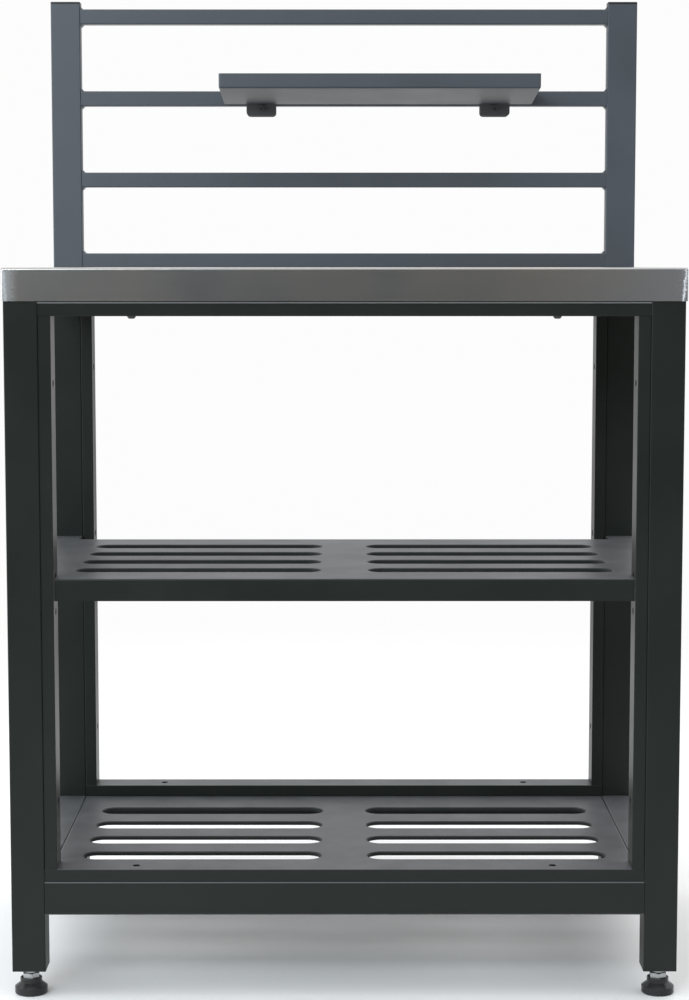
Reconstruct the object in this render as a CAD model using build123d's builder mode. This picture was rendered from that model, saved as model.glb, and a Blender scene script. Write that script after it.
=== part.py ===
"""Outdoor kitchen table: stainless worktop on a tube frame, two slotted shelves and a rear rack.

The origin is on the floor under the middle of the worktop. +Z is up and the front faces -Y.
All sizes are in millimetres.
"""
from build123d import *
from math import radians, tan
import os

# Worktop: a folded stainless pan
top_width = 800.0
top_depth = 500.0
top_height = 871.0
top_sheet = 1.5
skirt_height = 39.0
skirt_clearance = 0.5
top_bend_radius = 3.0

# Main frame of square tube
tube = 40.0
tube_wall = 2.0
tube_radius = 1.5
foot_height = 31.5
rail_clearance = 101.0

# Opening frames of narrow tube, front and rear
ring_tube = 15.0
ring_depth = 40.0
ring_wall = 1.5
ring_radius = 1.0
ring_setback = 1.5
ring_hole = 9.0
ring_hole_pitch = 500.0
ring_pair_pitch = 42.0

# Light tubes under the worktop and under the middle shelf
light_width = 40.0
light_height = 20.0
light_wall = 1.5
light_radius = 2.0
stiffener_pitch = 260.0

# Slotted shelves of folded sheet
shelf_sheet = 1.5
shelf_height = 505.5
shelf_depth = 400.0
shelf_apron = 26.5
shelf_clearance = 0.3
shelf_setback = 4.0
shelf_bend_radius = 2.5
slot_margin = 31.7
slot_web = 58.0
slot_width = 37.0
slot_pitch = 80.0
slot_rows = 4
slot_lip = 5.0
slot_lip_wall = 2.0
slot_lip_chamfer = 1.2
low_shelf_flange = 25.0

# Rack behind the worktop
rack_height = 1230.0
rack_overhang = 1.0
rack_low_end = 570.0
rack_post_width = 40.0
rack_tube = 20.0
rack_wall = 1.5
rack_radius = 1.5
rack_gap = 0.5
rack_bar_count = 4
rack_first_drop = 1.0
rack_last_drop = 10.0
rack_weld = 4.0
cap_plate = 3.0
cap_plug = 12.0
cap_clearance = 0.1
rack_bolt_heights = (600.0, 800.0)

# Hanging tray on one bar of the rack
tray_bar = 2
tray_centre = 46.5
tray_width = 420.0
tray_depth = 145.0
tray_lip = 19.2
tray_tilt = 4.5
tray_rise = 1.5
tray_sheet = 1.5
tray_radius = 2.5
hook_width = 40.0
hook_pitch = 319.0
hook_sheet = 2.5
hook_drop = 13.5
hook_clearance = 0.5
hook_lift = 0.3
hook_corner = 5.0
hook_bend = 3.5
lock_drop = 3.5

# Levelling feet
pad_diameter = 39.0
pad_rim = 9.0
pad_collar = 26.0
pad_collar_base = 14.0
pad_height = 19.5
pad_pocket = 23.0
pad_pocket_floor = 13.0
pad_bore_floor = 4.0
pad_radius = 1.5
stem_diameter = 10.0
stem_top = 75.0
stem_hex = 19.0
stem_gap = 0.3
lock_nut_hex = 17.0
lock_nut_height = 5.2
plug_height = 25.0
plug_clearance = 0.1
running_fit = 0.05

# Fasteners
m6_shank = 6.0
m6_head = 10.5
m6_head_height = 3.3
m6_nut_hex = 10.0
m6_nut_height = 5.0
m8_shank = 8.0
m8_hex = 13.0
m8_head_height = 5.3
m8_length = 35.0
m5_shank = 5.0
m5_head = 8.5
m5_head_height = 4.0
m5_nut_hex = 8.0
m5_nut_height = 4.0
m5_end = 2.0
bolt_clearance = 0.3
boss_diameter = 12.0
boss_height = 8.0
bolt_end_gap = 1.5
spacer_diameter = 18.0
low_bolt_pitch = 240.0
low_bolt_drop = 14.0
low_bolt_length = 16.0
stud_pitch = 260.0
stud_shift = -25.0
stud_length = 28.0

# Worked out from the driving dimensions
frame_width = top_width - 2 * (top_sheet + skirt_clearance)
frame_depth = top_depth - 2 * (top_sheet + skirt_clearance)
leg_top = top_height - top_sheet
leg_x = frame_width / 2 - tube / 2
leg_y = frame_depth / 2 - tube / 2
inner_x = frame_width / 2 - tube
inner_y = frame_depth / 2 - tube
low_rail_top = rail_clearance + tube
top_rail_under = leg_top - tube
ring_y = frame_depth / 2 - ring_setback - ring_depth / 2
ring_low = low_rail_top + ring_tube
ring_high = top_rail_under - ring_tube
ring_middle = (ring_low + ring_high) / 2
ring_x = inner_x - ring_tube / 2
shelf_under = shelf_height - shelf_sheet
shelf_front = -frame_depth / 2 + shelf_setback
shelf_rear = shelf_front + shelf_depth
slot_shelf_middle = (shelf_front + shelf_rear) / 2
rack_front = top_depth / 2 + rack_gap
rack_y = rack_front + rack_tube / 2
rack_first_bar = top_height - rack_first_drop
rack_last_bar = rack_height - rack_last_drop - rack_tube
rack_bar_pitch = (rack_last_bar - rack_first_bar) / (rack_bar_count - 1)
rack_rear = rack_front + rack_tube
post_x = frame_width / 2 + rack_overhang - rack_post_width / 2
bar_half = post_x - rack_post_width / 2
spacer_thickness = rack_front - frame_depth / 2
tray_bar_under = rack_first_bar + tray_bar * rack_bar_pitch
tray_bar_over = tray_bar_under + rack_tube
hook_front = rack_front - hook_clearance - hook_sheet
hook_rear = rack_rear + hook_clearance + hook_sheet
hook_top = tray_bar_over + hook_lift + hook_sheet
hook_low = tray_bar_under - hook_drop
lock_z = tray_bar_under - lock_drop

side_names = (("left", -1), ("right", 1))
end_names = (("front", -1), ("rear", 1))
corner_names = [(f"{end}_{side}", sx, sy) for end, sy in end_names for side, sx in side_names]

os.makedirs("parts", exist_ok=True)


def save(piece, name):
    """Label a finished piece and write its STEP file."""
    piece.part.label = name
    export_step(piece.part, f"parts/{name}.step")


def along_x(x, y, z):
    """Plane at a point whose normal is +X, with its own x along +Y and its own y along +Z."""
    return Plane(origin=(x, y, z), x_dir=(0, 1, 0), z_dir=(1, 0, 0))


def along_y(x, y, z):
    """Plane at a point whose normal is +Y, with its own x along -X and its own y along +Z."""
    return Plane(origin=(x, y, z), x_dir=(-1, 0, 0), z_dir=(0, 1, 0))


def along_z(x, y, z):
    """Plane at a point whose normal is +Z."""
    return Plane(origin=(x, y, z))


def hollow_section(plane, length, width, height, wall, radius):
    """Rectangular tube with rounded corners, from a plane at its end along the plane's normal."""
    with BuildPart() as section:
        with BuildSketch(plane):
            RectangleRounded(width, height, radius)
            Rectangle(width - 2 * wall, height - 2 * wall, mode=Mode.SUBTRACT)
        extrude(amount=length)
    return section


def frame_tube(plane, length):
    """Square tube of the main frame."""
    return hollow_section(plane, length, tube, tube, tube_wall, tube_radius)


def drill(section, planes, diameter, depth):
    """Cut round holes into a piece, each from the origin of its plane along the plane's normal."""
    with BuildPart() as drilled:
        add(section.part)
        with Locations(*[Location(plane) for plane in planes]):
            Cylinder(diameter / 2, depth, align=(Align.CENTER, Align.CENTER, Align.MIN), mode=Mode.SUBTRACT)
    return drilled


def button_bolts(planes, length):
    """Button-head bolts: the domed head lies below each plane and the shank rises along its normal."""
    with BuildPart() as bolts:
        with BuildSketch(Plane.XZ) as profile:
            with BuildLine():
                dome = ThreePointArc(
                    (0, -m6_head_height),
                    (m6_head * 0.33, -m6_head_height * 0.72),
                    (m6_head / 2, -m6_head_height * 0.1),
                )
                Polyline(
                    dome @ 1, (m6_head / 2, 0), (m6_shank / 2, 0),
                    (m6_shank / 2, length), (0, length), (0, -m6_head_height),
                )
            make_face()
        with Locations(*[Location(plane) for plane in planes]):
            add(revolve(profile.sketch, axis=Axis.Z, mode=Mode.PRIVATE))
    return bolts


def hex_pieces(planes, across_flats, height, bore):
    """Hexagon nuts standing on the given planes."""
    with BuildPart() as nuts:
        for plane in planes:
            with BuildSketch(plane):
                RegularPolygon(across_flats / 2, 6, major_radius=False)
                Circle(bore / 2, mode=Mode.SUBTRACT)
            extrude(amount=height)
    return nuts


# Worktop pan with rounded bends and ground corners
with BuildPart() as worktop:
    with BuildSketch(Plane.XY.offset(top_height - skirt_height)):
        RectangleRounded(top_width, top_depth, top_bend_radius)
    extrude(amount=skirt_height)
    fillet(worktop.faces().sort_by(Axis.Z)[-1].edges(), top_bend_radius * 0.9)
    with BuildSketch(Plane.XY.offset(top_height - skirt_height)):
        RectangleRounded(top_width - 2 * top_sheet, top_depth - 2 * top_sheet, top_bend_radius - top_sheet)
    extrude(amount=skirt_height - top_sheet, mode=Mode.SUBTRACT)
save(worktop, "worktop")

# Threaded bosses under the worktop, and the bolts that reach them through each head and rail
bolt_spots = [(sx * ring_hole_pitch / 2, sy * ring_y) for sx in (-1, 1) for sy in (-1, 1)]
with BuildPart() as worktop_bosses:
    with BuildSketch(Plane.XY.offset(leg_top - boss_height)):
        with Locations(*bolt_spots):
            Circle(boss_diameter / 2)
            Circle(m6_shank / 2 + running_fit, mode=Mode.SUBTRACT)
    extrude(amount=boss_height)
save(worktop_bosses, "worktop_bosses")

head_planes = [along_z(x, y, ring_high) for x, y in bolt_spots]
worktop_bolts = button_bolts(head_planes, leg_top - bolt_end_gap - ring_high)
save(worktop_bolts, "worktop_bolts")

# Legs; the rear pair is tapped for the rack bolts
rack_spots = [(sx, z) for sx in (-1, 1) for z in rack_bolt_heights]
for name, sx, sy in corner_names:
    leg = frame_tube(along_z(sx * leg_x, sy * leg_y, foot_height), leg_top - foot_height)
    if sy > 0:
        taps = [along_y(sx * leg_x, leg_y, z) for z in rack_bolt_heights]
        leg = drill(leg, taps, m8_shank + 2 * running_fit, tube)
    save(leg, f"leg_{name}")

# Upper and lower rails between the legs
top_rail_z = leg_top - tube / 2
low_rail_z = low_rail_top - tube / 2
for end, sy in end_names:
    rail = frame_tube(along_x(-inner_x, sy * leg_y, top_rail_z), 2 * inner_x)
    spots = [(x, y) for x, y in bolt_spots if y * sy > 0]
    under = [along_z(x, y, top_rail_under - tube_wall) for x, y in spots]
    over = [along_z(x, y, top_rail_z) for x, y in spots]
    rail = drill(rail, under, m6_shank + 2 * bolt_clearance, 3 * tube_wall)
    rail = drill(rail, over, boss_diameter + 2 * bolt_clearance, tube)
    save(rail, f"top_rail_{end}")
    rail = frame_tube(along_x(-inner_x, sy * leg_y, low_rail_z), 2 * inner_x)
    save(rail, f"low_rail_{end}")

low_bolt_z = low_rail_top - low_bolt_drop
for side, sx in side_names:
    rail = frame_tube(along_y(sx * leg_x, -inner_y, top_rail_z), 2 * inner_y)
    save(rail, f"top_rail_{side}")
    rail = frame_tube(along_y(sx * leg_x, -inner_y, low_rail_z), 2 * inner_y)
    taps = [
        Plane(origin=(sx * (inner_x - tube_wall), sy * low_bolt_pitch / 2, low_bolt_z), z_dir=(sx, 0, 0))
        for sy in (-1, 1)
    ]
    rail = drill(rail, taps, m6_shank + 2 * running_fit, 3 * tube_wall)
    save(rail, f"low_rail_{side}")

# Opening frames: sill and head run between the legs, the jambs stand between sill and head
jamb_holes = [
    ring_middle + step
    for pitch in (ring_hole_pitch, ring_pair_pitch)
    for step in (-pitch / 2, pitch / 2)
]
for end, sy in end_names:
    y = sy * ring_y
    start = along_x(-inner_x, y, low_rail_top + ring_tube / 2)
    sill = hollow_section(start, 2 * inner_x, ring_depth, ring_tube, ring_wall, ring_radius)
    sill_holes = [along_z(sx * ring_hole_pitch / 2, y, ring_low - ring_tube / 2) for sx in (-1, 1)]
    save(drill(sill, sill_holes, ring_hole, ring_tube), f"sill_{end}")
    start = along_x(-inner_x, y, ring_high + ring_tube / 2)
    head = hollow_section(start, 2 * inner_x, ring_depth, ring_tube, ring_wall, ring_radius)
    head_holes = [along_z(sx * ring_hole_pitch / 2, y, ring_high - ring_wall) for sx in (-1, 1)]
    head = drill(head, head_holes, m6_shank + 2 * bolt_clearance, ring_tube + 2 * ring_wall)
    save(head, f"head_{end}")
    for side, sx in side_names:
        start = along_z(sx * ring_x, y, ring_low)
        jamb = hollow_section(start, ring_high - ring_low, ring_tube, ring_depth, ring_wall, ring_radius)
        holes = [Plane(origin=(sx * ring_x, y, z), z_dir=(-sx, 0, 0)) for z in jamb_holes]
        save(drill(jamb, holes, ring_hole, ring_tube), f"jamb_{end}_{side}")

# Stiffeners under the worktop, from the front rail to the rear rail
for side, sx in side_names:
    start = along_y(sx * stiffener_pitch / 2, -inner_y, leg_top - light_height / 2)
    stiffener = hollow_section(start, 2 * inner_y, light_width, light_height, light_wall, light_radius)
    save(stiffener, f"stiffener_{side}")

# Side rails that carry the middle shelf, drilled for its studs
stud_y = [slot_shelf_middle + stud_shift + step for step in (-stud_pitch / 2, stud_pitch / 2)]
for side, sx in side_names:
    start = along_y(sx * leg_x, -inner_y, shelf_under - light_height / 2)
    rail = hollow_section(start, 2 * inner_y, light_width, light_height, light_wall, light_radius)
    holes = [along_z(sx * leg_x, y, shelf_under - light_height - light_wall) for y in stud_y]
    rail = drill(rail, holes, m6_shank + 2 * bolt_clearance, light_height + 2 * light_wall)
    save(rail, f"shelf_rail_{side}")

# Slot pattern shared by both shelves: two columns on either side of a plain web
slot_length = inner_x - shelf_clearance - slot_margin - slot_web / 2
slot_layout = (slot_length + slot_web, slot_pitch, 2, slot_rows)

# Middle shelf: its front tongue passes between the jambs and carries the apron
tongue_half = inner_x - ring_tube - shelf_clearance
shelf_half = frame_width / 2 - shelf_clearance
shoulder = -ring_y + ring_depth / 2 + shelf_clearance
with BuildPart() as middle_shelf:
    with BuildSketch(Plane.XY.offset(shelf_under)):
        with Locations((0, (shoulder + shelf_rear) / 2)):
            Rectangle(2 * shelf_half, shelf_rear - shoulder)
        with Locations((0, (shelf_front + shoulder) / 2)):
            Rectangle(2 * tongue_half, shoulder - shelf_front)
    extrude(amount=shelf_sheet)
    with BuildSketch(Plane.XY.offset(shelf_height - shelf_apron)):
        with Locations((0, shelf_front + shelf_sheet / 2)):
            Rectangle(2 * tongue_half, shelf_sheet)
        with Locations((0, shelf_rear - shelf_sheet / 2)):
            Rectangle(2 * (inner_x - shelf_clearance), shelf_sheet)
    extrude(amount=shelf_apron - shelf_sheet)
    front_bend = middle_shelf.faces().sort_by(Axis.Z)[-1].edges().sort_by(Axis.Y)[0]
    fillet(front_bend, shelf_bend_radius)
    with BuildSketch(Plane.XY.offset(shelf_height - slot_lip)):
        with Locations((0, slot_shelf_middle)):
            with GridLocations(*slot_layout):
                SlotOverall(slot_length + 2 * slot_lip_wall, slot_width + 2 * slot_lip_wall)
    extrude(amount=slot_lip - shelf_sheet)
    with BuildSketch(Plane.XY.offset(shelf_height)):
        with Locations((0, slot_shelf_middle)):
            with GridLocations(*slot_layout):
                SlotOverall(slot_length, slot_width)
    extrude(amount=-slot_lip, mode=Mode.SUBTRACT)
    top_face = middle_shelf.faces().filter_by(Axis.Z).sort_by(Axis.Z)[-1]
    chamfer(top_face.inner_wires().edges(), slot_lip_chamfer)
save(middle_shelf, "middle_shelf")

stud_spots = [(sx * leg_x, y) for sx in (-1, 1) for y in stud_y]
with BuildPart() as shelf_studs:
    with BuildSketch(Plane.XY.offset(shelf_under)):
        with Locations(*stud_spots):
            Circle(m6_shank / 2)
    extrude(amount=-stud_length)
save(shelf_studs, "shelf_studs")

stud_nut_planes = [along_z(x, y, shelf_under - light_height - m6_nut_height) for x, y in stud_spots]
shelf_nuts = hex_pieces(stud_nut_planes, m6_nut_hex, m6_nut_height, m6_shank + 2 * running_fit)
save(shelf_nuts, "shelf_nuts")

# Bottom shelf: a shallow pan turned over, flush with the lower rails
pan_half_x = inner_x - shelf_clearance
pan_half_y = min(inner_y, ring_y - ring_depth / 2) - shelf_clearance
with BuildPart() as bottom_shelf:
    with BuildSketch(Plane.XY.offset(low_rail_top - low_shelf_flange)):
        Rectangle(2 * pan_half_x, 2 * pan_half_y)
    extrude(amount=low_shelf_flange)
    fillet(bottom_shelf.faces().sort_by(Axis.Z)[-1].edges(), shelf_bend_radius)
    with BuildSketch(Plane.XY.offset(low_rail_top - low_shelf_flange)):
        Rectangle(2 * (pan_half_x - shelf_sheet), 2 * (pan_half_y - shelf_sheet))
    extrude(amount=low_shelf_flange - shelf_sheet, mode=Mode.SUBTRACT)
    with BuildSketch(Plane.XY.offset(low_rail_top - slot_lip)):
        with GridLocations(*slot_layout):
            SlotOverall(slot_length + 2 * slot_lip_wall, slot_width + 2 * slot_lip_wall)
    extrude(amount=slot_lip - shelf_sheet)
    with BuildSketch(Plane.XY.offset(low_rail_top)):
        with GridLocations(*slot_layout):
            SlotOverall(slot_length, slot_width)
    extrude(amount=-slot_lip, mode=Mode.SUBTRACT)
    top_face = bottom_shelf.faces().filter_by(Axis.Z).sort_by(Axis.Z)[-1]
    chamfer(top_face.inner_wires().edges(), slot_lip_chamfer)
low_bolt_planes = [
    Plane(origin=(sx * (pan_half_x - shelf_sheet), sy * low_bolt_pitch / 2, low_bolt_z), z_dir=(sx, 0, 0))
    for sx in (-1, 1)
    for sy in (-1, 1)
]
save(drill(bottom_shelf, low_bolt_planes, m6_shank + 2 * bolt_clearance, 2 * shelf_sheet), "bottom_shelf")
low_shelf_bolts = button_bolts(low_bolt_planes, low_bolt_length)
save(low_shelf_bolts, "low_shelf_bolts")

# Rack posts, drilled for the bolts into the rear legs
post_top = rack_height - cap_plate
for side, sx in side_names:
    post = hollow_section(
        along_z(sx * post_x, rack_y, rack_low_end), post_top - rack_low_end,
        rack_post_width, rack_tube, rack_wall, rack_radius,
    )
    holes = [along_y(sx * leg_x, rack_front - rack_wall, z) for z in rack_bolt_heights]
    post = drill(post, holes, m8_shank + 2 * bolt_clearance, rack_tube + 2 * rack_wall)
    save(post, f"rack_post_{side}")

# Rack bars, flared at both ends by the weld fillets
for index in range(rack_bar_count):
    z0 = rack_first_bar + index * rack_bar_pitch
    z1 = z0 + rack_tube
    with BuildPart() as bar:
        with BuildSketch(along_x(-bar_half, rack_y, (z0 + z1) / 2)):
            RectangleRounded(rack_tube, rack_tube, rack_radius)
        extrude(amount=2 * bar_half)
        with BuildSketch(Plane(origin=(0, rack_rear - rack_radius, 0), x_dir=(1, 0, 0), z_dir=(0, -1, 0))):
            for sx in (-1, 1):
                end_x = sx * bar_half
                toe_x = sx * (bar_half - rack_weld)
                for edge, up in ((z0, -1), (z1, 1)):
                    with BuildLine():
                        Polyline(
                            (end_x, edge - up * rack_weld), (end_x, edge + up * rack_weld),
                            (toe_x, edge), (toe_x, edge - up * rack_weld), close=True,
                        )
                    make_face()
        extrude(amount=rack_tube - 2 * rack_radius)
        with BuildSketch(along_x(-bar_half, rack_y, (z0 + z1) / 2)):
            Rectangle(rack_tube - 2 * rack_wall, rack_tube - 2 * rack_wall)
        extrude(amount=2 * bar_half, mode=Mode.SUBTRACT)
    save(bar, f"rack_bar_{index + 1}")

# Caps that close the tops of the posts
with BuildPart() as rack_caps:
    with BuildSketch(Plane.XY.offset(post_top)):
        with Locations((-post_x, rack_y), (post_x, rack_y)):
            RectangleRounded(rack_post_width, rack_tube, rack_radius)
    extrude(amount=cap_plate)
    fillet(rack_caps.faces().sort_by(Axis.Z)[-2:].edges(), cap_plate * 0.4)
    with BuildSketch(Plane.XY.offset(post_top)):
        with Locations((-post_x, rack_y), (post_x, rack_y)):
            Rectangle(
                rack_post_width - 2 * (rack_wall + rack_radius + cap_clearance),
                rack_tube - 2 * (rack_wall + cap_clearance),
            )
    extrude(amount=-cap_plug)
save(rack_caps, "rack_caps")

# Rack bolts from behind, and the spacers that bridge the skirt
with BuildPart() as rack_spacers:
    for sx, z in rack_spots:
        with BuildSketch(along_y(sx * leg_x, frame_depth / 2, z)):
            Circle(spacer_diameter / 2)
            Circle(m8_shank / 2 + bolt_clearance, mode=Mode.SUBTRACT)
        extrude(amount=spacer_thickness)
save(rack_spacers, "rack_spacers")

with BuildPart() as rack_bolts:
    for sx, z in rack_spots:
        with BuildSketch(along_y(sx * leg_x, rack_rear, z)):
            RegularPolygon(m8_hex / 2, 6, major_radius=False)
        extrude(amount=m8_head_height)
        with BuildSketch(along_y(sx * leg_x, rack_rear, z)):
            Circle(m8_shank / 2)
        extrude(amount=-m8_length)
save(rack_bolts, "rack_bolts")

# Hanging tray: its floor climbs towards the front, its rear lip stands upright against the hooks
tray_rear = hook_front
tray_front = tray_rear - tray_depth
tray_low = tray_bar_under + tray_rise
tray_climb = tray_depth * tan(radians(tray_tilt))
tray_left = tray_centre - tray_width / 2
with BuildPart() as tray:
    with BuildSketch(along_x(tray_left, 0, 0)):
        with BuildLine():
            Polyline(
                (tray_rear, tray_low), (tray_rear, tray_low + tray_lip),
                (tray_front, tray_low + tray_climb + tray_lip),
                (tray_front, tray_low + tray_climb), close=True,
            )
        make_face()
    extrude(amount=tray_width)
    floor_edges = tray.faces().sort_by(Axis.Z)[0].edges()
    corner_edges = tray.edges().filter_by(Axis.Z)
    fillet(floor_edges + corner_edges, tray_radius)
    with BuildSketch(along_x(tray_left + tray_sheet, 0, 0)):
        with BuildLine():
            Polyline(
                (tray_rear - tray_sheet, tray_low + tray_sheet),
                (tray_rear - tray_sheet, tray_low + 2 * tray_lip),
                (tray_front + tray_sheet, tray_low + tray_climb + 2 * tray_lip),
                (tray_front + tray_sheet, tray_low + tray_climb + tray_sheet), close=True,
            )
        make_face()
    extrude(amount=tray_width - 2 * tray_sheet, mode=Mode.SUBTRACT)
save(tray, "tray")

# Hooks over the bar, with legs that reach below it
hook_spots = [(side, tray_centre + sx * hook_pitch / 2) for side, sx in side_names]
for side, x in hook_spots:
    with BuildPart() as hook:
        with BuildSketch(along_x(x - hook_width / 2, 0, 0)):
            with Locations(((hook_front + hook_rear) / 2, (hook_low + hook_top) / 2)):
                Rectangle(hook_rear - hook_front, hook_top - hook_low)
        extrude(amount=hook_width)
        fillet(hook.faces().sort_by(Axis.Z)[-1].edges().filter_by(Axis.X), hook_bend)
        low_corners = hook.edges().filter_by(Axis.Y).group_by(Axis.Z)[0]
        fillet(low_corners, hook_corner)
        with BuildSketch(along_x(x - hook_width / 2, 0, 0)):
            with Locations(((hook_front + hook_rear) / 2, (hook_low + hook_top) / 2 - hook_sheet)):
                Rectangle(hook_rear - hook_front - 2 * hook_sheet, hook_top - hook_low)
        extrude(amount=hook_width, mode=Mode.SUBTRACT)
        with Locations(Location(along_y(x, hook_front - hook_sheet, lock_z))):
            Cylinder(
                m5_shank / 2 + bolt_clearance, hook_rear - hook_front + 2 * hook_sheet,
                align=(Align.CENTER, Align.CENTER, Align.MIN), mode=Mode.SUBTRACT,
            )
    save(hook, f"hook_{side}")

# Lock screws that pass under the bar, with their nuts
with BuildPart() as lock_screws:
    for side, x in hook_spots:
        with BuildSketch(along_y(x, hook_front, lock_z)):
            Circle(m5_head / 2)
        extrude(amount=-m5_head_height)
        with BuildSketch(along_y(x, hook_front, lock_z)):
            Circle(m5_shank / 2)
        extrude(amount=hook_rear - hook_front + m5_nut_height + m5_end)
        with BuildSketch(along_y(x, hook_front - m5_head_height, lock_z)):
            RegularPolygon(m5_shank * 0.4, 6, major_radius=False)
        extrude(amount=m5_head_height / 2, mode=Mode.SUBTRACT)
save(lock_screws, "lock_screws")

lock_screw_nuts = hex_pieces(
    [along_y(x, hook_rear, lock_z) for side, x in hook_spots],
    m5_nut_hex, m5_nut_height, m5_shank + 2 * running_fit,
)
save(lock_screw_nuts, "lock_screw_nuts")

# Plugs in the leg ends and the lock nuts under them
foot_spots = [(sx * leg_x, sy * leg_y) for name, sx, sy in corner_names]
plug_side = tube - 2 * tube_wall - 2 * plug_clearance
with BuildPart() as leg_plugs:
    with BuildSketch(Plane.XY.offset(foot_height)):
        with Locations(*foot_spots):
            Rectangle(plug_side, plug_side)
            Circle(stem_diameter / 2 + running_fit, mode=Mode.SUBTRACT)
    extrude(amount=plug_height)
save(leg_plugs, "leg_plugs")

lock_nut_low = foot_height - lock_nut_height
lock_nuts = hex_pieces(
    [along_z(x, y, lock_nut_low) for x, y in foot_spots],
    lock_nut_hex, lock_nut_height, stem_diameter + 2 * running_fit,
)
save(lock_nuts, "lock_nuts")

# Levelling feet: a moulded pad, and a stem whose hexagon turns in the pad's collar
hex_low = pad_pocket_floor + stem_gap
hex_high = lock_nut_low - stem_gap
for name, sx, sy in corner_names:
    x, y = sx * leg_x, sy * leg_y
    with BuildPart() as pad:
        with BuildSketch(Plane(origin=(x, y, 0), x_dir=(1, 0, 0), z_dir=(0, -1, 0))):
            with BuildLine():
                Polyline(
                    (0, 0), (pad_diameter / 2 - pad_radius, 0), (pad_diameter / 2, pad_radius),
                    (pad_diameter / 2, pad_rim), (pad_collar / 2, pad_collar_base),
                    (pad_collar / 2, pad_height),
                    (pad_pocket / 2, pad_height), (pad_pocket / 2, pad_pocket_floor),
                    (stem_diameter / 2 + running_fit, pad_pocket_floor),
                    (stem_diameter / 2 + running_fit, pad_bore_floor), (0, pad_bore_floor), close=True,
                )
            make_face()
        revolve(axis=Axis((x, y, 0), (0, 0, 1)))
    save(pad, f"foot_pad_{name}")
    with BuildPart() as stem:
        with BuildSketch(Plane.XY.offset(pad_bore_floor + stem_gap)):
            with Locations((x, y)):
                Circle(stem_diameter / 2)
        extrude(amount=stem_top - pad_bore_floor - stem_gap)
        chamfer(stem.edges().filter_by(GeomType.CIRCLE).sort_by(Axis.Z)[-1], running_fit * 20)
        with BuildSketch(Plane.XY.offset(hex_low)):
            with Locations((x, y)):
                RegularPolygon(stem_hex / 2, 6, major_radius=False)
        extrude(amount=hex_high - hex_low)
    save(stem, f"foot_stem_{name}")
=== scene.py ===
# %% [markdown]
# # An outdoor kitchen table, dressed in Blender
# The table is a tube frame with a stainless worktop, two slotted shelves and a rack with a hung tray.
# Its solids are already packed with their joints, so they are loaded as a fixed frame. This lesson gives
# them their finishes, and remakes the small turned parts, whose threads and sockets are too fine for solids.

# %% Load the packed table
import math

import bpy
import numpy as np
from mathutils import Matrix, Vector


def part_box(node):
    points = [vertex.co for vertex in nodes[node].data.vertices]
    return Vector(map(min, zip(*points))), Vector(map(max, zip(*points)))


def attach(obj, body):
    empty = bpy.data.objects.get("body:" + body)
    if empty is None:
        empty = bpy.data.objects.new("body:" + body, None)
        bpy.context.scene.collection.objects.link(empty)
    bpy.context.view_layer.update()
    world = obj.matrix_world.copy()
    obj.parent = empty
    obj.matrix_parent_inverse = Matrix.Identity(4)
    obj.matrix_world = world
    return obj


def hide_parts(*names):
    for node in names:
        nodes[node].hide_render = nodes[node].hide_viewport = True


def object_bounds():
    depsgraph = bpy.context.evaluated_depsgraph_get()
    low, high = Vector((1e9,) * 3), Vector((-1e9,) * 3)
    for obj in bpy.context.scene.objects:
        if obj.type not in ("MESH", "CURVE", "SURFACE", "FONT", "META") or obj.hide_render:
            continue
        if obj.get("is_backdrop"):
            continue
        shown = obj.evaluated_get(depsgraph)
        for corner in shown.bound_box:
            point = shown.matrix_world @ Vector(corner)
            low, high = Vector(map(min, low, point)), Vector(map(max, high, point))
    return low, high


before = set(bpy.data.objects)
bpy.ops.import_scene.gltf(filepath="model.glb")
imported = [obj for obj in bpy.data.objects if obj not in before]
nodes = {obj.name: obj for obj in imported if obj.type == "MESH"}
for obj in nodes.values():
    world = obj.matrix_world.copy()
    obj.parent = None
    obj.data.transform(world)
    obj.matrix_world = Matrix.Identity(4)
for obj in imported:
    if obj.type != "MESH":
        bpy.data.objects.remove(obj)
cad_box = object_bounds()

scene = bpy.context.scene

# %% [markdown]
# ## Camera
# The table was photographed from the front, a little above the worktop's height, through a long lens.
# A camera could be placed by eye, but here its distance and lens come from the spread of lines of
# known length: the front legs, the rear legs and the rack give three depths, which fix both.

# %% Camera at the photographed angle
IMAGE_WIDTH, FOCAL_PIXELS, SENSOR_WIDTH = 689, 2332.75, 36.0
CAMERA_PLACE = (-0.00404, -2.9724, 0.8736)
CAMERA_DIP, CAMERA_TURN = 5.746, -0.084

camera_data = bpy.data.cameras.new("camera")
camera_data.sensor_fit = "HORIZONTAL"
camera_data.sensor_width = SENSOR_WIDTH
camera_data.lens = FOCAL_PIXELS / IMAGE_WIDTH * SENSOR_WIDTH
camera = bpy.data.objects.new("camera", camera_data)
camera.location = CAMERA_PLACE
camera.rotation_euler = (math.radians(90 - CAMERA_DIP), 0, math.radians(CAMERA_TURN))
scene.collection.objects.link(camera)
scene.camera = camera
print("lens:", round(camera_data.lens, 2), "mm")

# %% [markdown]
# ## Nodes
# Every finish, the floor and the surround are trees of nodes. They could be wired by hand in Blender's
# editor, but a class that adds and links a node in one call keeps the script short, and a finish then reads
# like a recipe.

# %% Helpers for any tree of nodes
RANGE_SOCKETS = ("From Min", "From Max", "To Min", "To Max")


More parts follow.
